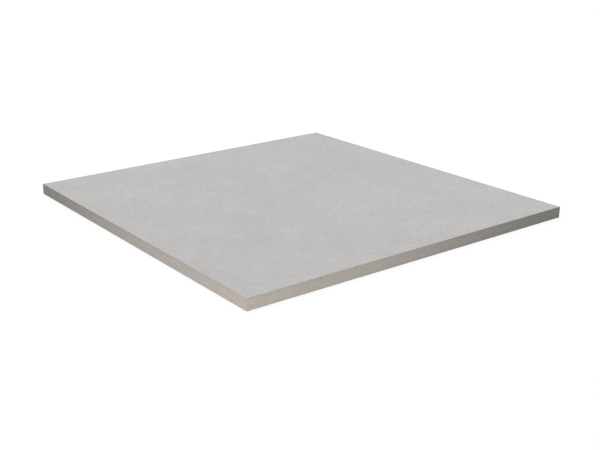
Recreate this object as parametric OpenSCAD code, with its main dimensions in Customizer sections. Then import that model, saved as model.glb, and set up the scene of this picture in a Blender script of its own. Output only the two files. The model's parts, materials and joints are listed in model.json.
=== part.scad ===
// Porcelain paving slab.
//
// One pressed and fired plate. Its four sides are ground square, the walking face has a
// fine ground bevel, and the underside is pressed with a grid of shallow key pockets that
// leave a plain border and a lattice of ribs for the slab to bear on.
//
// Millimetres. The slab lies flat with its walking face up, and the origin is the middle of
// its bearing plane. X runs along the length and Y along the width.

/* [Slab] */
// Length along X
slab_length = 600; // [300:5:900]
// Width along Y
slab_width = 600; // [300:5:900]
// Thickness from the bearing plane to the walking face
slab_thickness = 18; // [12:0.5:40]

/* [Edges] */
// Width of the ground bevel round the walking face
top_bevel = 0.5; // [0.3:0.1:2]
// Width of the chamfer round the underside
foot_chamfer = 0.6; // [0.3:0.1:3]

/* [Underside key] */
// Plain band from the side of the slab to the outermost pockets
key_border = 14; // [6:1:40]
// Largest spacing from one pocket to the next
key_spacing = 42; // [35:1:80]
// Bearing width of each rib between two pockets
rib_width = 5; // [3:0.5:10]
// Depth of the pockets
key_depth = 1; // [0.4:0.1:2]
// Draft of the pocket walls, in degrees from upright
key_draft = 35; // [5:1:60]

/* [Hidden] */

// The pocket cutters start this far below the bearing plane.
overcut = 0.5;

// Pockets that fit in a span of the slab, and their exact spacing. The ribs and pockets
// together fill the span between the two borders.
function keyed_span(span) = span - 2 * key_border + rib_width;
function pocket_count(span) = ceil(keyed_span(span) / key_spacing);
function pocket_pitch(span) = keyed_span(span) / pocket_count(span);

// Section of the slab across one span, bevelled above and chamfered below.
module edge_section(span) {
    half = span / 2;
    polygon([
        [-half + foot_chamfer, 0],
        [half - foot_chamfer, 0],
        [half, foot_chamfer],
        [half, slab_thickness - top_bevel],
        [half - top_bevel, slab_thickness],
        [-half + top_bevel, slab_thickness],
        [-half, slab_thickness - top_bevel],
        [-half, foot_chamfer]
    ]);
}

// Section of one row of pockets, widest at its mouth on the bearing plane.
module pocket_section(span) {
    mouth = (pocket_pitch(span) - rib_width) / 2;
    flare = overcut * tan(key_draft);
    taper = key_depth * tan(key_draft);
    polygon([
        [-mouth - flare, -overcut],
        [mouth + flare, -overcut],
        [mouth - taper, key_depth],
        [-mouth + taper, key_depth]
    ]);
}

// Drafted channels side by side across one span, each as long as the other span.
module key_channels(span, length) {
    count = pocket_count(span);
    for (i = [0 : count - 1])
        translate([(i - (count - 1) / 2) * pocket_pitch(span), 0, 0])
            rotate([90, 0, 0])
                linear_extrude(height = length, center = true)
                    pocket_section(span);
}

// The key pockets are what the channels of both directions share.
module key_pockets() {
    intersection() {
        key_channels(slab_length, slab_width);
        rotate([0, 0, 90])
            key_channels(slab_width, slab_length);
    }
}

// The plate with its ground sides, before the underside is pressed.
module slab_blank() {
    intersection() {
        rotate([90, 0, 0])
            linear_extrude(height = slab_width, center = true)
                edge_section(slab_length);
        rotate([90, 0, 90])
            linear_extrude(height = slab_length, center = true)
                edge_section(slab_width);
    }
}

module slab() {
    color([0.75, 0.75, 0.74])
        difference() {
            slab_blank();
            key_pockets();
        }
}

slab();
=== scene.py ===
"""Porcelain paving slab: a pressed, fired and ground plate, its finishes and a plain stage."""
import json
import math

import bmesh
import bpy
from bpy.props import (
    FloatProperty,
    FloatVectorProperty,
    IntProperty,
    PointerProperty,
)
from bpy.types import Operator, Panel, PropertyGroup
from mathutils import Matrix, Quaternion, Vector, noise


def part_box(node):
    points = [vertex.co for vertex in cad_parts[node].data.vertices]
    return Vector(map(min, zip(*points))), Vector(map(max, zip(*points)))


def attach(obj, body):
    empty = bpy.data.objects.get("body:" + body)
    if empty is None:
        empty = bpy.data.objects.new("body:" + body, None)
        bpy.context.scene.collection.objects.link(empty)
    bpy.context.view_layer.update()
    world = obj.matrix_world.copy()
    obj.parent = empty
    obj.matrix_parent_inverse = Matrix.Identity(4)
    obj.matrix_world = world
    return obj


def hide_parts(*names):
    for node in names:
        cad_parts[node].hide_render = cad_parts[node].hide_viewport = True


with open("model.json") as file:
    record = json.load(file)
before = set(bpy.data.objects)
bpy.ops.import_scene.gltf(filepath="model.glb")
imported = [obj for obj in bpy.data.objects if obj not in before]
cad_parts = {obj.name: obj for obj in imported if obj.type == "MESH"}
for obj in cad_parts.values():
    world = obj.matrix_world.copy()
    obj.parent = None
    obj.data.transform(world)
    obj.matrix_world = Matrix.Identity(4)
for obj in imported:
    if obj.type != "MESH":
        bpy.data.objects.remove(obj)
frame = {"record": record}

bl_info = {
    "name": "Porcelain Paving Slab",
    "version": (1, 0, 0),
    "blender": (4, 5, 0),
    "location": "3D View > Sidebar > Paving",
    "description": "Builds a porcelain paving slab with its finishes, and the stage it lies on",
    "category": "Add Mesh",
}

NODE = "slab"
SLOT = "porcelain"
SLAB_LOW, SLAB_HIGH = (Vector(corner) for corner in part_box(NODE))
SLAB_SIZE = SLAB_HIGH - SLAB_LOW
SLAB_MIDDLE = (SLAB_LOW + SLAB_HIGH) / 2
SLAB_COLOUR = next(m for m in frame["record"]["materials"] if m["slot"] == SLOT)["base_color"]
MM = 0.001

# Material slots of the slab, in order.
WALKING_FACE, GROUND_SIDE, UNDERSIDE = range(3)

# Edges that turn by more than this are softened.
SHARP_TURN = math.radians(25)
# How near a place must be to a line to count as on it.
NEARNESS = 0.001 * MM

# The relief in the walking face: soft swells as in fractal noise, and ripples between them.
SWELL_ROUGHNESS, SWELL_STEP, SWELL_OCTAVES = 0.9, 2.1, 3
SWELL_SHARE, RIPPLE_SHARE = 0.42, 0.22
RIPPLE_SIZE = 9 * MM
# Length over which the grinding wheel wanders once.
WHEEL_LENGTH = 22 * MM

# Where each part of the slab lies across its own map. Each column fills the map's height.
MAP_NAME = "OFBake"
MAP_MARGIN = 0.004
FACE_COLUMN = (0.004, 0.520)
UNDERSIDE_COLUMN = (0.528, 0.852)
SIDE_COLUMNS = {
    (1, 0): (0.860, 0.889),
    (-1, 0): (0.895, 0.924),
    (0, 1): (0.930, 0.959),
    (0, -1): (0.965, 0.994),
}

# Flecks in the glaze and in the body: pitch, radius, share of places that hold one, lightness.
GLAZE_FLECKS = (
    (14 * MM, 1.3 * MM, 0.45, 0.88),
    (5 * MM, 0.45 * MM, 0.5, 0.7),
    (3.6 * MM, 0.5 * MM, 0.4, 1.2),
)
BODY_FLECKS = (
    (2.6 * MM, 0.28 * MM, 0.5, 0.6),
    (2.1 * MM, 0.32 * MM, 0.4, 1.3),
)
FLECK_STRENGTH = 0.85
# Size of the chips out of a fleck's outline, and how far they pull it.
CHIP_SIZE, CHIP_PULL = 0.7 * MM, 1 * MM

# Sizes of the patterns in the finishes.
STREAK_SIZE = 6 * MM
CLUMP_SIZE = 4 * MM
BAND_SIZE = 25 * MM
WARM_SIZE = 9 * MM
STAIN_SIZE = 60 * MM
WASH_SIZE, DUST_SIZE = 16 * MM, 1.6 * MM
GRINDING_SIZE = 14 * MM
CUT_SIZE, CUT_WANDER = 7 * MM, 0.3 * MM
# The sides are made a little darker towards the top: over what depth, and to what share.
DARK_DEPTH, DARK_SHARE = 7 * MM, 0.93

WHITE = (1, 1, 1, 1)
# The floor: how much light it throws back on the slab, and how it looks by itself.
FLOOR_DROP = 0.1 * MM
FLOOR_BOUNCE, FLOOR_LIT, FLOOR_GLOW = 0.42, 0.22, 0.82
CAMERA_CLIP = 0.01, 60
# The soft lamp overhead.
OVERHEAD_PLACE, OVERHEAD_SOFTNESS = (0.3, 0.5, 2), math.radians(70)
# The low lamp: how far it stands over the slab's middle, how far along the side it is aimed
# from the near corner, how softly its beam ends, and its own radius.
CORNER_RISE, CORNER_AIM, CORNER_BLEND, CORNER_SIZE = 0.02, 0.038, 0.86, 0.025


# ---------------------------------------------------------------------------
# Settings
# ---------------------------------------------------------------------------


class SlabEdges(PropertyGroup):
    """Sizes of the ground edges and of the relief in the walking face."""

    top_bevel: FloatProperty(
        name="Top bevel",
        description="Width of the ground bevel round the walking face",
        default=0.5 * MM,
        precision=5,
        unit="LENGTH",
    )
    bevel_wander: FloatProperty(
        name="Bevel wander",
        description="How far the grinding wheel wanders along the bevel",
        default=0.05 * MM,
        precision=5,
        unit="LENGTH",
    )
    foot_chamfer: FloatProperty(
        name="Foot chamfer",
        description="Width of the chamfer round the underside",
        default=0.6 * MM,
        precision=5,
        unit="LENGTH",
    )
    arris: FloatProperty(
        name="Arris",
        description="How far each ground edge and corner is softened",
        default=0.1 * MM,
        precision=5,
        unit="LENGTH",
    )
    face_cells: IntProperty(
        name="Face cells",
        description="Mesh cells along each side of the walking face",
        default=250,
        min=20,
        max=256,
    )
    relief_depth: FloatProperty(
        name="Relief depth",
        description="Depth of the pressed relief in the walking face",
        default=0.16 * MM,
        precision=5,
        unit="LENGTH",
    )
    relief_size: FloatProperty(
        name="Relief size",
        description="Size of the soft swells in the walking face",
        default=34 * MM,
        precision=4,
        unit="LENGTH",
    )
    relief_fade: FloatProperty(
        name="Relief fade",
        description="Width of the band beside each edge where the relief dies away",
        default=5 * MM,
        precision=4,
        unit="LENGTH",
    )


class UndersideKey(PropertyGroup):
    """Sizes of the grid of key pockets pressed in the underside."""

    border: FloatProperty(
        name="Border",
        description="Plain band from the side of the slab to the outermost pockets",
        default=14 * MM,
        precision=4,
        unit="LENGTH",
    )
    spacing: FloatProperty(
        name="Spacing",
        description="Largest spacing from one pocket to the next",
        default=42 * MM,
        precision=4,
        unit="LENGTH",
    )
    rib_width: FloatProperty(
        name="Rib width",
        description="Bearing width of each rib between two pockets",
        default=5 * MM,
        precision=4,
        unit="LENGTH",
    )
    depth: FloatProperty(
        name="Depth",
        description="Depth of the pockets",
        default=1 * MM,
        precision=4,
        unit="LENGTH",
    )
    draft: FloatProperty(
        name="Draft",
        description="Slope of the pocket walls from upright",
        default=math.radians(35),
        subtype="ANGLE",
    )
    fillet: FloatProperty(
        name="Fillet",
        description="How far the pressed edges of the pockets are softened",
        default=0.3 * MM,
        precision=5,
        unit="LENGTH",
    )


class SlabFinish(PropertyGroup):
    """Colours and grain of the glazed face, the ground sides and the underside."""

    glaze: FloatVectorProperty(
        name="Glaze",
        description="Mean colour of the matt walking face",
        default=SLAB_COLOUR,
        subtype="COLOR",
        min=0,
        max=1,
    )
    body: FloatVectorProperty(
        name="Body",
        description="Mean colour of the fired body where the sides are ground",
        default=(0.382, 0.376, 0.342),
        subtype="COLOR",
        min=0,
        max=1,
    )
    kiln_wash: FloatVectorProperty(
        name="Kiln wash",
        description="Colour of the pale wash that dusts the bearing ribs",
        default=(0.66, 0.64, 0.60),
        subtype="COLOR",
        min=0,
        max=1,
    )
    # Painted shade: this colour, darker than the body, covers the bevel so that it does not look
    # lit; it is also where the bevel cuts the glaze.
    cut_glaze_and_bevel_shade: FloatVectorProperty(
        name="Cut glaze",
        description="Colour of the glaze where the ground bevel cuts through it",
        default=(0.34, 0.325, 0.295),
        subtype="COLOR",
        min=0,
        max=1,
    )
    glaze_thickness: FloatProperty(
        name="Glaze thickness",
        description="Thickness of the glaze that the ground bevel cuts through",
        default=0.6 * MM,
        precision=5,
        unit="LENGTH",
    )
    cloud_size: FloatProperty(
        name="Cloud size",
        description="Size of the soft clouds in the glaze",
        default=45 * MM,
        precision=4,
        unit="LENGTH",
    )
    mottle_size: FloatProperty(
        name="Mottle size",
        description="Size of the mottling in the glaze",
        default=8 * MM,
        precision=4,
        unit="LENGTH",
    )
    speckle_size: FloatProperty(
        name="Speckle size",
        description="Size of the speckle that shows in patches of the glaze",
        default=4.5 * MM,
        precision=4,
        unit="LENGTH",
    )
    grain_size: FloatProperty(
        name="Grain size",
        description="Size of the fine grain in the glaze and the body",
        default=1 * MM,
        precision=5,
        unit="LENGTH",
    )


class Stage(PropertyGroup):
    """The floor, the light and the camera."""

    floor_width: FloatProperty(
        name="Floor width",
        description="Width of the square floor",
        default=14,
        unit="LENGTH",
    )
    sky: FloatProperty(
        name="Sky",
        description="Strength of the white sky that lights the slab",
        default=0.40,
        min=0,
    )
    overhead: FloatProperty(
        name="Overhead",
        description="Strength of the soft lamp overhead",
        default=1.71,
        min=0,
    )
    corner_lamp: FloatProperty(
        name="Corner lamp",
        description="Power of the low lamp in front of the near corner",
        default=75.5,
        min=0,
        unit="POWER",
    )
    corner_tint: FloatVectorProperty(
        name="Corner tint",
        description="Colour of the low lamp in front of the near corner",
        default=(1, 0.876, 0.875),
        subtype="COLOR",
        min=0,
        max=1,
    )
    corner_reach: FloatProperty(
        name="Corner reach",
        description="Distance of the low lamp from the near corner",
        default=1.31,
        unit="LENGTH",
    )
    corner_bearing: FloatProperty(
        name="Corner bearing",
        description="Direction of the low lamp from the near corner, from the length of the slab",
        default=math.radians(42.1),
        subtype="ANGLE",
    )
    corner_spread: FloatProperty(
        name="Corner spread",
        description="Width of the low lamp's beam",
        default=math.radians(30.5),
        subtype="ANGLE",
    )
    azimuth: FloatProperty(
        name="Azimuth",
        description="Turn of the camera round the slab from the front",
        default=math.radians(-34.84),
        subtype="ANGLE",
    )
    elevation: FloatProperty(
        name="Elevation",
        description="Height of the camera above the horizon",
        default=math.radians(19.40),
        subtype="ANGLE",
    )
    roll: FloatProperty(
        name="Roll",
        description="Tilt of the camera about its own axis",
        default=math.radians(0.56),
        subtype="ANGLE",
    )
    distance: FloatProperty(
        name="Distance",
        description="Distance from the camera to the point it aims at",
        default=1.4495,
        unit="LENGTH",
    )
    aim: FloatVectorProperty(
        name="Aim",
        description="Point on the walking face that the camera aims at, from its middle",
        default=(-0.1508, -0.0731),
        size=2,
        unit="LENGTH",
    )
    lens: FloatProperty(
        name="Lens",
        description="Focal length of the camera in millimetres",
        default=58.35,
    )
    shift: FloatProperty(
        name="Shift",
        description="Sideways shift of the lens, as a share of the picture's width",
        default=0.1,
    )


# ---------------------------------------------------------------------------
# Slab mesh
# ---------------------------------------------------------------------------


def pocket_lines(span, key):
    """Distances from the middle at which the pockets begin and end, across one span."""
    keyed = span - 2 * key.border + key.rib_width
    count = math.ceil(keyed / key.spacing)
    pitch = keyed / count
    mouth = (pitch - key.rib_width) / 2
    middles = [(i - (count - 1) / 2) * pitch for i in range(count)]
    return [middle + side for middle in middles for side in (-mouth, mouth)]


def inside_a_pocket(place, lines):
    """True if a place along one span lies between the two lines of a pocket."""
    return any(a < place < b for a, b in zip(lines[::2], lines[1::2]))


def add_underside(bm, key):
    """Adds the underside, out to the middle of its border: ribs round drafted pockets."""
    lines = [pocket_lines(span, key) for span in SLAB_SIZE.xy]
    reach = Matrix.Diagonal((SLAB_SIZE.x - key.border, SLAB_SIZE.y - key.border, 1, 1))
    middle = Matrix.Translation((*SLAB_MIDDLE.xy, SLAB_LOW.z))
    bmesh.ops.create_grid(bm, x_segments=1, y_segments=1, size=0.5, matrix=middle @ reach)
    for axis, along in enumerate(lines):
        across = Vector((axis == 0, axis == 1, 0))
        for line in along:
            bmesh.ops.bisect_plane(
                bm,
                geom=[*bm.verts, *bm.edges, *bm.faces],
                dist=NEARNESS,
                plane_co=middle @ (across * line),
                plane_no=across,
            )
    bmesh.ops.reverse_faces(bm, faces=[f for f in bm.faces if f.normal.z > 0])
    home = middle.inverted()
    pockets = [
        f
        for f in bm.faces
        if all(
            inside_a_pocket(place, along)
            for place, along in zip(home @ f.calc_center_median(), lines)
        )
    ]
    bmesh.ops.inset_individual(
        bm,
        faces=pockets,
        thickness=key.depth * math.tan(key.draft),
        depth=-key.depth,
        use_even_offset=True,
    )


def relief_at(place, edges):
    """Depth of the pressed relief at a place on the walking face, from 0 to 1."""
    swell = noise.fractal(
        place / edges.relief_size, SWELL_ROUGHNESS, SWELL_STEP, SWELL_OCTAVES
    )
    slanted = Vector((place.x * 0.7 + place.y, place.y - place.x, 3))
    ripple = noise.noise(slanted / RIPPLE_SIZE)
    return min(max(0.5 + SWELL_SHARE * swell + RIPPLE_SHARE * ripple, 0), 1)


def fade_at(place, edges):
    """1 over the walking face, falling smoothly to 0 at its edges."""
    half = SLAB_SIZE / 2
    gap = min(half.x - abs(place.x - SLAB_MIDDLE.x), half.y - abs(place.y - SLAB_MIDDLE.y))
    share = min(max((gap - edges.top_bevel) / edges.relief_fade, 0), 1)
    return share * share * (3 - 2 * share)


def add_walking_face(bm, edges):
    """Adds the walking face with its relief, and returns its boundary edges."""
    middle = Matrix.Translation((*SLAB_MIDDLE.xy, SLAB_HIGH.z))
    inner = SLAB_SIZE.xy - Vector((2, 2)) * edges.top_bevel
    made = bmesh.ops.create_grid(
        bm,
        x_segments=edges.face_cells,
        y_segments=edges.face_cells,
        size=0.5,
        matrix=middle @ Matrix.Diagonal((*inner, 1, 1)),
    )
    for v in made["verts"]:
        v.co.z -= edges.relief_depth * relief_at(v.co, edges) * fade_at(v.co, edges)
    return [e for e in bm.edges if e.is_boundary and e.verts[0].co.z > SLAB_MIDDLE.z]


def add_ring(bm, rim, inset, next_inset, drop):
    """Extrudes a rim downwards to the next inset, and returns the new rim."""
    made = bmesh.ops.extrude_edge_only(bm, edges=rim)["geom"]
    verts = [v for v in made if isinstance(v, bmesh.types.BMVert)]
    middle = Matrix.Translation((*SLAB_MIDDLE.xy, 0))
    scale = [(span - 2 * next_inset) / (span - 2 * inset) for span in SLAB_SIZE.xy]
    grow = middle @ Matrix.Diagonal((*scale, 1, 1)) @ middle.inverted()
    bmesh.ops.transform(bm, matrix=Matrix.Translation((0, 0, -drop)) @ grow, verts=verts)
    ring = set(verts)
    return [
        e
        for e in made
        if isinstance(e, bmesh.types.BMEdge) and e.is_boundary and ring.issuperset(e.verts)
    ]


def add_sides(bm, rim, edges):
    """Adds the bevel, the ground sides and the foot chamfer, and returns the lowest rim."""
    bevel, foot = edges.top_bevel, edges.foot_chamfer
    rim = add_ring(bm, rim, bevel, 0, bevel)
    rim = add_ring(bm, rim, 0, 0, SLAB_SIZE.z - bevel - foot)
    return add_ring(bm, rim, 0, foot, foot)


def wander_bevel(bm, edges):
    """Lets the lower line of the ground bevel wander a little, as a hand-set wheel does."""
    line = SLAB_HIGH.z - edges.top_bevel
    for v in bm.verts:
        if abs(v.co.z - line) < NEARNESS:
            v.co.z += edges.bevel_wander * noise.noise(v.co / WHEEL_LENGTH)


def soften(bm, sharp, width):
    """Bevels the given edges with two small facets."""
    bmesh.ops.bevel(
        bm,
        geom=sharp,
        offset=width,
        offset_type="OFFSET",
        segments=2,
        profile=0.5,
        affect="EDGES",
        clamp_overlap=True,
        material=-1,
    )


def sharp_edges(bm):
    """Edges at which the surface turns sharply."""
    return [e for e in bm.edges if len(e.link_faces) == 2 and e.calc_face_angle(0) > SHARP_TURN]


def in_the_border(place, key):
    """True if a place lies nearer to a side of the slab than the middle of the plain border."""
    out = [abs(part) for part in place - SLAB_MIDDLE]
    return any(out[axis] > (SLAB_SIZE[axis] - key.border) / 2 for axis in (0, 1))


def finish_of(face, edges):
    """The finish that a face of the slab wears: the bevel and the foot chamfer are ground too."""
    if face.normal.z > 0.9:
        return WALKING_FACE
    out = [abs(part) for part in face.calc_center_median() - SLAB_MIDDLE]
    ground = edges.foot_chamfer + edges.arris
    if any(out[axis] > SLAB_SIZE[axis] / 2 - ground for axis in (0, 1)):
        return GROUND_SIDE
    return UNDERSIDE


def side_place(place, normal, edges):
    """The column of the side that a place lies in, and how far it is across and along it."""
    axis = int(abs(normal.y) > abs(normal.x))
    outward = Vector((0, 0, 0))
    outward[axis] = math.copysign(1, normal[axis])
    along = outward.cross(Vector((0, 0, 1)))
    from_middle = place - SLAB_MIDDLE
    inset = SLAB_SIZE[axis] / 2 - from_middle.dot(outward)
    reach = SLAB_SIZE.z / 2 + max(edges.top_bevel, edges.foot_chamfer) + 2 * edges.arris
    rise = from_middle.z + math.copysign(inset, from_middle.z)
    column = SIDE_COLUMNS[round(outward.x), round(outward.y)]
    across = 0.5 + rise / (2 * reach)
    return column, across, 0.5 + from_middle.dot(along) / SLAB_SIZE[1 - axis]


def add_map(bm, edges):
    """Adds the slab's own map: the two faces as seen square on, and each side unrolled."""
    layer = bm.loops.layers.uv.new(MAP_NAME)
    for face in bm.faces:
        for loop in face.loops:
            place = loop.vert.co
            share = [(a - low) / size for a, low, size in zip(place, SLAB_LOW, SLAB_SIZE)]
            if face.material_index == WALKING_FACE:
                column, across, along = FACE_COLUMN, share[0], share[1]
            elif face.material_index == UNDERSIDE:
                column, across, along = UNDERSIDE_COLUMN, share[1], share[0]
            else:
                column, across, along = side_place(place, face.normal, edges)
            start, end = column
            loop[layer].uv = (
                start + across * (end - start),
                MAP_MARGIN + along * (1 - 2 * MAP_MARGIN),
            )


def order_faces(bm):
    """Puts the faces in an order that follows their corners, so that each build is the same."""
    bm.verts.index_update()
    step = len(bm.verts)

    def rank(face):
        corners = [v.index for v in face.verts]
        return (sum(corners) * step + max(corners)) * step + min(corners)

    bm.faces.sort(key=rank)


def slab_mesh(edges, key):
    """Builds the whole slab as one closed mesh."""
    bm = bmesh.new()
    add_underside(bm, key)
    soften(bm, sharp_edges(bm), key.fillet)
    keyed_rim = [e for e in bm.edges if e.is_boundary]
    rim = add_walking_face(bm, edges)
    rim = add_sides(bm, rim, edges)
    wander_bevel(bm, edges)
    bmesh.ops.triangle_fill(
        bm, use_beauty=True, use_dissolve=False, edges=keyed_rim + rim, normal=(0, 0, -1)
    )
    bmesh.ops.recalc_face_normals(bm, faces=bm.faces)
    outer = [e for e in sharp_edges(bm) if any(in_the_border(v.co, key) for v in e.verts)]
    soften(bm, outer, edges.arris)
    bmesh.ops.recalc_face_normals(bm, faces=bm.faces)
    order_faces(bm)
    for face in bm.faces:
        face.smooth = True
        face.material_index = finish_of(face, edges)
    add_map(bm, edges)
    mesh = bpy.data.meshes.new("porcelain_slab")
    bm.to_mesh(mesh)
    bm.free()
    return mesh


# ---------------------------------------------------------------------------
# Shader nodes
# ---------------------------------------------------------------------------


def add_node(tree, kind, inputs=None, **settings):
    """Adds a node. Each input is a plain value, or the output that feeds it."""
    made = tree.nodes.new(kind)
    for name, value in settings.items():
        setattr(made, name, value)
    for name, value in (inputs or {}).items():
        if isinstance(value, bpy.types.NodeSocket):
            tree.links.new(value, made.inputs[name])
        else:
            made.inputs[name].default_value = value
    return made


def maths(tree, operation, first, second):
    """The result of one operation on two numbers or outputs."""
    return add_node(tree, "ShaderNodeMath", {0: first, 1: second}, operation=operation).outputs[0]


def scaled(tree, vector, scale):
    """A vector or colour times a number or output."""
    inputs = {0: vector, "Scale": scale}
    return add_node(tree, "ShaderNodeVectorMath", inputs, operation="SCALE").outputs[0]


def grain(tree, place, size, detail=2.0, roughness=0.5):
    """Noise with features of about one size, in metres."""
    inputs = {"Vector": place, "Scale": 1 / size, "Detail": detail, "Roughness": roughness}
    return add_node(tree, "ShaderNodeTexNoise", inputs).outputs["Fac"]


def remap(tree, value, low, high, to_low=0.0, to_high=1.0):
    """Stretches part of a range smoothly over another, and holds its ends."""
    inputs = {
        "Value": value,
        "From Min": low,
        "From Max": high,
        "To Min": to_low,
        "To Max": to_high,
    }
    made = add_node(tree, "ShaderNodeMapRange", inputs, interpolation_type="SMOOTHSTEP")
    return made.outputs["Result"]


def placed(tree, place, turn=0.0, stretch=(1, 1, 1)):
    """The object's coordinates, turned about Z and stretched."""
    inputs = {"Vector": place, "Rotation": (0, 0, turn), "Scale": stretch}
    return add_node(tree, "ShaderNodeMapping", inputs).outputs["Vector"]


def toned(tree, colour, layers):
    """A colour made lighter and darker by layers, each a height and how far it swings the tone."""
    level = 1.0
    for height, swing in layers:
        level = maths(tree, "ADD", level, remap(tree, height, 0.3, 0.7, -swing, swing))
    return scaled(tree, colour, level)


def patchy(tree, height, patches, least):
    """A height that shows in full in some patches, and only in part between them."""
    strength = remap(tree, patches, 0.3, 0.7, least, 1)
    swing = maths(tree, "SUBTRACT", height, 0.5)
    return maths(tree, "ADD", maths(tree, "MULTIPLY", swing, strength), 0.5)


def mixed(tree, share, first, second):
    """Mixes two colours."""
    made = add_node(tree, "ShaderNodeMix", data_type="RGBA")
    named = {s.identifier: s for s in made.inputs}
    wanted = {"Factor_Float": share, "A_Color": first, "B_Color": second}
    for name, value in wanted.items():
        if isinstance(value, bpy.types.NodeSocket):
            tree.links.new(value, named[name])
        else:
            named[name].default_value = value
    return next(s for s in made.outputs if s.identifier == "Result_Color")


def shade(colour, level):
    """A colour made lighter or darker by a factor, with its alpha."""
    return (*(min(part * level, 1) for part in colour), 1)


def warmed(colour, warmth):
    """A colour made warmer, or cooler by a warmth under 0, with its alpha."""
    return (colour[0] * (1 + warmth), colour[1], colour[2] * (1 - warmth), 1)


def with_flecks(tree, place, tint, base, kinds):
    """Scatters ragged flecks over a tint, each a lighter or darker shade of the base colour."""
    ragged = add_node(tree, "ShaderNodeTexNoise", {"Vector": place, "Scale": 1 / CHIP_SIZE})
    pull = scaled(tree, ragged.outputs["Color"], CHIP_PULL)
    moved = add_node(tree, "ShaderNodeVectorMath", {0: pull, 1: place}, operation="ADD").outputs[0]
    for pitch, radius, share, lightness in kinds:
        inputs = {"Vector": moved, "Scale": 1 / pitch}
        cells = add_node(tree, "ShaderNodeTexVoronoi", inputs).outputs
        pick = add_node(tree, "ShaderNodeSeparateColor", {"Color": cells["Color"]}).outputs
        chosen = maths(tree, "LESS_THAN", pick["Red"], share)
        reach = radius / pitch
        inside = remap(tree, cells["Distance"], 0.7 * reach, 1.1 * reach, FLECK_STRENGTH, 0)
        strength = maths(tree, "MULTIPLY", inside, chosen)
        tint = mixed(tree, strength, tint, shade(base, lightness))
    return tint


def height_of(tree, place):
    """Height of a place above the floor."""
    return add_node(tree, "ShaderNodeSeparateXYZ", {"Vector": place}).outputs["Z"]


def new_material(name):
    """A new material with a shader and an output, and its object coordinates."""
    material = bpy.data.materials.new(name)
    material.use_nodes = True
    tree = material.node_tree
    tree.nodes.clear()
    shader = add_node(tree, "ShaderNodeBsdfPrincipled")
    output = add_node(tree, "ShaderNodeOutputMaterial")
    tree.links.new(shader.outputs["BSDF"], output.inputs["Surface"])
    place = add_node(tree, "ShaderNodeTexCoord").outputs["Object"]
    return material, tree, shader, place


def add_bumps(tree, shader, layers):
    """Feeds the shader's normal from bump layers, each a height and its depth in metres."""
    normal = None
    for height, depth in layers:
        inputs = {"Height": height, "Distance": depth, "Strength": 1.0}
        if normal:
            inputs["Normal"] = normal
        normal = add_node(tree, "ShaderNodeBump", inputs).outputs["Normal"]
    tree.links.new(normal, shader.inputs["Normal"])


# ---------------------------------------------------------------------------
# Finishes
# ---------------------------------------------------------------------------


def matt_glaze(finish):
    """The walking face: a light grey matt glaze with clouds, patchy speckle and mineral flecks."""
    material, tree, shader, place = new_material("matt_glaze")
    drift = grain(tree, place, 5 * finish.cloud_size, detail=1)
    clouds = grain(tree, place, finish.cloud_size, detail=4, roughness=0.55)
    brushed = placed(tree, place, turn=math.radians(28), stretch=(0.25, 1, 1))
    streaks = grain(tree, brushed, STREAK_SIZE, detail=3, roughness=0.6)
    mottle = grain(tree, place, finish.mottle_size, detail=4, roughness=0.65)
    speckle = patchy(tree, grain(tree, place, finish.speckle_size, detail=1), drift, 0.35)
    fine = grain(tree, place, finish.grain_size, detail=4, roughness=0.75)
    layers = (
        (drift, 0.012),
        (clouds, 0.028),
        (streaks, 0.012),
        (mottle, 0.049),
        (speckle, 0.062),
        (fine, 0.083),
    )
    tint = toned(tree, finish.glaze, layers)
    tint = with_flecks(tree, place, tint, finish.glaze, GLAZE_FLECKS)
    tree.links.new(tint, shader.inputs["Base Color"])

    tree.links.new(remap(tree, mottle, 0.25, 0.75, 0.66, 0.8), shader.inputs["Roughness"])
    shader.inputs["Specular IOR Level"].default_value = 0.3
    add_bumps(tree, shader, ((mottle, 0.12 * MM), (fine, 0.06 * MM)))
    return material


def fired_body(tree, place, finish):
    """Colour of the fired body, with warm patches, soft bands and fine flecks, and its grain."""
    fine = grain(tree, place, finish.grain_size, detail=3, roughness=0.7)
    clumps = grain(tree, place, CLUMP_SIZE, detail=2, roughness=0.6)
    bands = grain(tree, placed(tree, place, stretch=(1, 1, 6)), BAND_SIZE, detail=3)
    warm = remap(tree, grain(tree, place, WARM_SIZE, detail=3, roughness=0.6), 0.35, 0.65)
    tint = mixed(tree, warm, warmed(finish.body, -0.025), warmed(finish.body, 0.025))
    tint = toned(tree, tint, ((bands, 0.035), (clumps, 0.06), (fine, 0.1)))
    return with_flecks(tree, place, tint, finish.body, BODY_FLECKS), fine


def ground_body(finish):
    """The sides: the fired body ground square, with a dark band along their top: the cut glaze,
    and painted shade over the bevel that keeps it from looking lit.
    """
    material, tree, shader, place = new_material("ground_body")
    tint, fine = fired_body(tree, place, finish)
    height = height_of(tree, place)
    darkened = remap(tree, height, SLAB_HIGH.z - DARK_DEPTH, SLAB_HIGH.z, 1, DARK_SHARE)
    tint = scaled(tree, tint, darkened)
    # The dark band along the top of each side: where the bevel cuts the glaze, and painted shade
    # over the bevel so that it does not look lit.
    wobble = maths(tree, "MULTIPLY", grain(tree, place, CUT_SIZE), CUT_WANDER)
    level = maths(tree, "ADD", height, wobble)
    glaze_foot = SLAB_HIGH.z + CUT_WANDER / 2 - finish.glaze_thickness
    glazed = remap(tree, level, glaze_foot - CUT_WANDER, glaze_foot)
    tint = mixed(tree, glazed, tint, (*finish.cut_glaze_and_bevel_shade, 1))
    tree.links.new(tint, shader.inputs["Base Color"])

    drawn_out = placed(tree, place, stretch=(1, 1, 45))
    lines = grain(tree, drawn_out, GRINDING_SIZE, detail=4, roughness=0.7)
    tree.links.new(remap(tree, lines, 0.3, 0.7, 0.55, 0.72), shader.inputs["Roughness"])
    shader.inputs["Specular IOR Level"].default_value = 0.3
    add_bumps(tree, shader, ((lines, 0.03 * MM), (fine, 0.04 * MM)))
    return material


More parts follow.
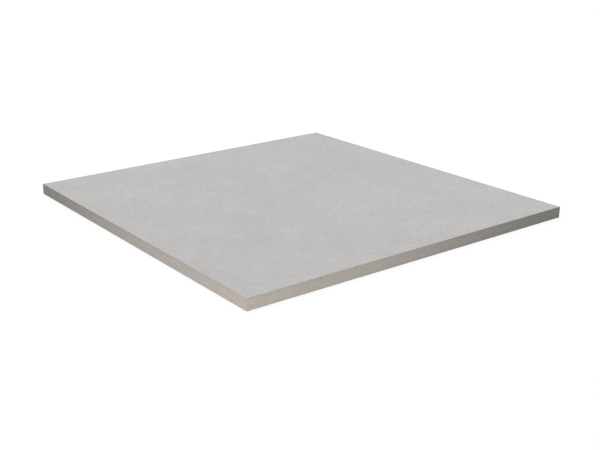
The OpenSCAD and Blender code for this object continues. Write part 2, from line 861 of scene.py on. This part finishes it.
def pressed_underside(finish, key):
    """The underside: the fired body as pressed, with pale kiln wash on its ribs."""
    material, tree, shader, place = new_material("pressed_underside")
    tint, fine = fired_body(tree, place, finish)
    stain = grain(tree, place, STAIN_SIZE, detail=4, roughness=0.6)
    tint = toned(tree, tint, ((stain, 0.05),))
    low, high = (SLAB_LOW.z + share * key.depth for share in (0.1, 0.4))
    rib = remap(tree, height_of(tree, place), low, high, 1, 0.1)
    patches = grain(tree, place, WASH_SIZE, detail=7, roughness=0.72)
    dust = grain(tree, place, DUST_SIZE, detail=3, roughness=0.7)
    dusty = remap(tree, dust, 0.36, 0.6, 0.55, 1)
    wiped = maths(tree, "MULTIPLY", remap(tree, patches, 0.42, 0.56, 0.12, 0.85), dusty)
    tint = mixed(tree, maths(tree, "MULTIPLY", rib, wiped), tint, (*finish.kiln_wash, 1))
    tree.links.new(tint, shader.inputs["Base Color"])

    tree.links.new(remap(tree, patches, 0.3, 0.7, 0.74, 0.88), shader.inputs["Roughness"])
    shader.inputs["Specular IOR Level"].default_value = 0.25
    add_bumps(tree, shader, ((patches, 0.1 * MM), (fine, 0.1 * MM)))
    return material


# ---------------------------------------------------------------------------
# Stage
# ---------------------------------------------------------------------------


def seen_directly(tree):
    """1 for rays that see the stage directly, in gloss or through glass, and 0 for light."""
    path = add_node(tree, "ShaderNodeLightPath").outputs
    glossy_or_clear = maths(tree, "MAXIMUM", path["Is Glossy Ray"], path["Is Transmission Ray"])
    return maths(tree, "MAXIMUM", path["Is Camera Ray"], glossy_or_clear)


def set_sky(strength):
    """A white sky, which lights the slab at its own strength and looks plain white."""
    world = bpy.data.worlds.new("studio_sky")
    world.use_nodes = True
    tree = world.node_tree
    tree.nodes.clear()
    lighting = add_node(tree, "ShaderNodeBackground", {"Color": WHITE, "Strength": strength})
    backdrop = add_node(tree, "ShaderNodeBackground", {"Color": WHITE, "Strength": 1.0})
    mix = add_node(tree, "ShaderNodeMixShader", {0: seen_directly(tree)})
    tree.links.new(lighting.outputs[0], mix.inputs[1])
    tree.links.new(backdrop.outputs[0], mix.inputs[2])
    output = add_node(tree, "ShaderNodeOutputWorld")
    tree.links.new(mix.outputs[0], output.inputs["Surface"])
    bpy.context.scene.world = world


def floor_material():
    """A pale floor: it looks white where it is lit, and keeps the slab's soft shadow."""
    material = bpy.data.materials.new("studio_floor")
    material.use_nodes = True
    tree = material.node_tree
    tree.nodes.clear()
    bounce = add_node(tree, "ShaderNodeBsdfDiffuse", {"Color": (*[FLOOR_BOUNCE] * 3, 1)})
    lit = add_node(tree, "ShaderNodeBsdfDiffuse", {"Color": (*[FLOOR_LIT] * 3, 1)})
    glow = add_node(tree, "ShaderNodeEmission", {"Color": WHITE, "Strength": FLOOR_GLOW})
    shown = add_node(tree, "ShaderNodeAddShader")
    tree.links.new(lit.outputs[0], shown.inputs[0])
    tree.links.new(glow.outputs[0], shown.inputs[1])
    mix = add_node(tree, "ShaderNodeMixShader", {0: seen_directly(tree)})
    tree.links.new(bounce.outputs[0], mix.inputs[1])
    tree.links.new(shown.outputs[0], mix.inputs[2])
    output = add_node(tree, "ShaderNodeOutputMaterial")
    tree.links.new(mix.outputs[0], output.inputs["Surface"])
    return material


def add_floor(width):
    """A level floor just under the bearing plane."""
    bm = bmesh.new()
    level = Matrix.Translation((0, 0, SLAB_LOW.z - FLOOR_DROP))
    bmesh.ops.create_grid(bm, x_segments=1, y_segments=1, size=width / 2, matrix=level)
    mesh = bpy.data.meshes.new("studio_floor")
    bm.to_mesh(mesh)
    bm.free()
    mesh.materials.append(floor_material())
    floor = bpy.data.objects.new("studio_floor", mesh)
    bpy.context.scene.collection.objects.link(floor)


def add_lamp(name, kind, place, target, energy, **settings):
    """Adds a lamp that points from its place to a target."""
    data = bpy.data.lights.new(name, kind)
    data.energy = energy
    for setting, value in settings.items():
        setattr(data, setting, value)
    lamp = bpy.data.objects.new(name, data)
    lamp.location = place
    lamp.rotation_mode = "QUATERNION"
    lamp.rotation_quaternion = (Vector(target) - Vector(place)).to_track_quat("-Z", "Y")
    lamp.visible_camera = False
    bpy.context.scene.collection.objects.link(lamp)


def add_lamps(stage):
    """A broad soft lamp overhead, and a low warm one in front of the near corner."""
    add_lamp(
        "overhead",
        "SUN",
        OVERHEAD_PLACE,
        (0, 0, 0),
        stage.overhead,
        angle=OVERHEAD_SOFTNESS,
    )
    near = Vector((*SLAB_LOW.xy, SLAB_MIDDLE.z))
    bearing = stage.corner_bearing
    away = Vector((math.cos(bearing), math.sin(bearing), 0)) * stage.corner_reach
    add_lamp(
        "near_corner",
        "SPOT",
        near - away + Vector((0, 0, CORNER_RISE)),
        near + Vector((0, CORNER_AIM, 0)),
        stage.corner_lamp,
        color=stage.corner_tint,
        spot_size=stage.corner_spread,
        spot_blend=CORNER_BLEND,
        shadow_soft_size=CORNER_SIZE,
    )


def add_camera(stage):
    """The camera, turned round the slab and aimed at a point on the walking face."""
    data = bpy.data.cameras.new("camera")
    data.lens = stage.lens
    data.shift_x = stage.shift
    data.dof.use_dof = False
    data.clip_start, data.clip_end = CAMERA_CLIP
    a, e = stage.azimuth, stage.elevation
    back = Vector((math.sin(a) * math.cos(e), -math.cos(a) * math.cos(e), math.sin(e)))
    camera = bpy.data.objects.new("camera", data)
    camera.location = Vector((*stage.aim, SLAB_HIGH.z)) + back * stage.distance
    camera.rotation_mode = "QUATERNION"
    level = (-back).to_track_quat("-Z", "Y")
    camera.rotation_quaternion = level @ Quaternion((0, 0, 1), -stage.roll)
    bpy.context.scene.collection.objects.link(camera)
    bpy.context.scene.camera = camera


# ---------------------------------------------------------------------------
# Operators and panel
# ---------------------------------------------------------------------------


class PAVING_OT_build_slab(Operator):
    """Build the porcelain slab with its relief, ground edges, underside key and finishes"""

    bl_idname = "paving.build_slab"
    bl_label = "Build Slab"
    bl_options = {"REGISTER", "UNDO"}

    def execute(self, context):
        scene = context.scene
        mesh = slab_mesh(scene.slab_edges, scene.underside_key)
        for material in (
            matt_glaze(scene.slab_finish),
            ground_body(scene.slab_finish),
            pressed_underside(scene.slab_finish, scene.underside_key),
        ):
            mesh.materials.append(material)
        slab = bpy.data.objects.new("porcelain_slab", mesh)
        scene.collection.objects.link(slab)
        slab.modifiers.new("flat_faces_stay_flat", "WEIGHTED_NORMAL")
        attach(slab, "root")
        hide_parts(NODE)
        return {"FINISHED"}


class PAVING_OT_set_stage(Operator):
    """Set the pale floor, the soft studio light and the camera"""

    bl_idname = "paving.set_stage"
    bl_label = "Set Stage"
    bl_options = {"REGISTER", "UNDO"}

    def execute(self, context):
        stage = context.scene.paving_stage
        context.scene.view_settings.view_transform = "Standard"
        set_sky(stage.sky)
        add_floor(stage.floor_width)
        add_lamps(stage)
        add_camera(stage)
        return {"FINISHED"}


class PAVING_PT_slab(Panel):
    """Lists the operators and the settings of the slab"""

    bl_idname = "PAVING_PT_slab"
    bl_label = "Porcelain Slab"
    bl_space_type = "VIEW_3D"
    bl_region_type = "UI"
    bl_category = "Paving"

    def draw(self, context):
        scene = context.scene
        layout = self.layout
        layout.operator(PAVING_OT_build_slab.bl_idname)
        layout.operator(PAVING_OT_set_stage.bl_idname)
        groups = (
            ("Edges", scene.slab_edges),
            ("Underside key", scene.underside_key),
            ("Finish", scene.slab_finish),
            ("Stage", scene.paving_stage),
        )
        for title, group in groups:
            box = layout.box()
            box.label(text=title)
            for name in group.__annotations__:
                box.prop(group, name)


CLASSES = (
    SlabEdges,
    UndersideKey,
    SlabFinish,
    Stage,
    PAVING_OT_build_slab,
    PAVING_OT_set_stage,
    PAVING_PT_slab,
)

SETTINGS = {
    "slab_edges": SlabEdges,
    "underside_key": UndersideKey,
    "slab_finish": SlabFinish,
    "paving_stage": Stage,
}


def register():
    for cls in CLASSES:
        bpy.utils.register_class(cls)
    for name, group in SETTINGS.items():
        setattr(bpy.types.Scene, name, PointerProperty(type=group))


def unregister():
    for name in SETTINGS:
        delattr(bpy.types.Scene, name)
    for cls in reversed(CLASSES):
        bpy.utils.unregister_class(cls)


def main():
    """Builds the slab and its stage."""
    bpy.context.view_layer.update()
    register()
    bpy.ops.paving.build_slab()
    bpy.ops.paving.set_stage()


if __name__ == "__main__":
    main()
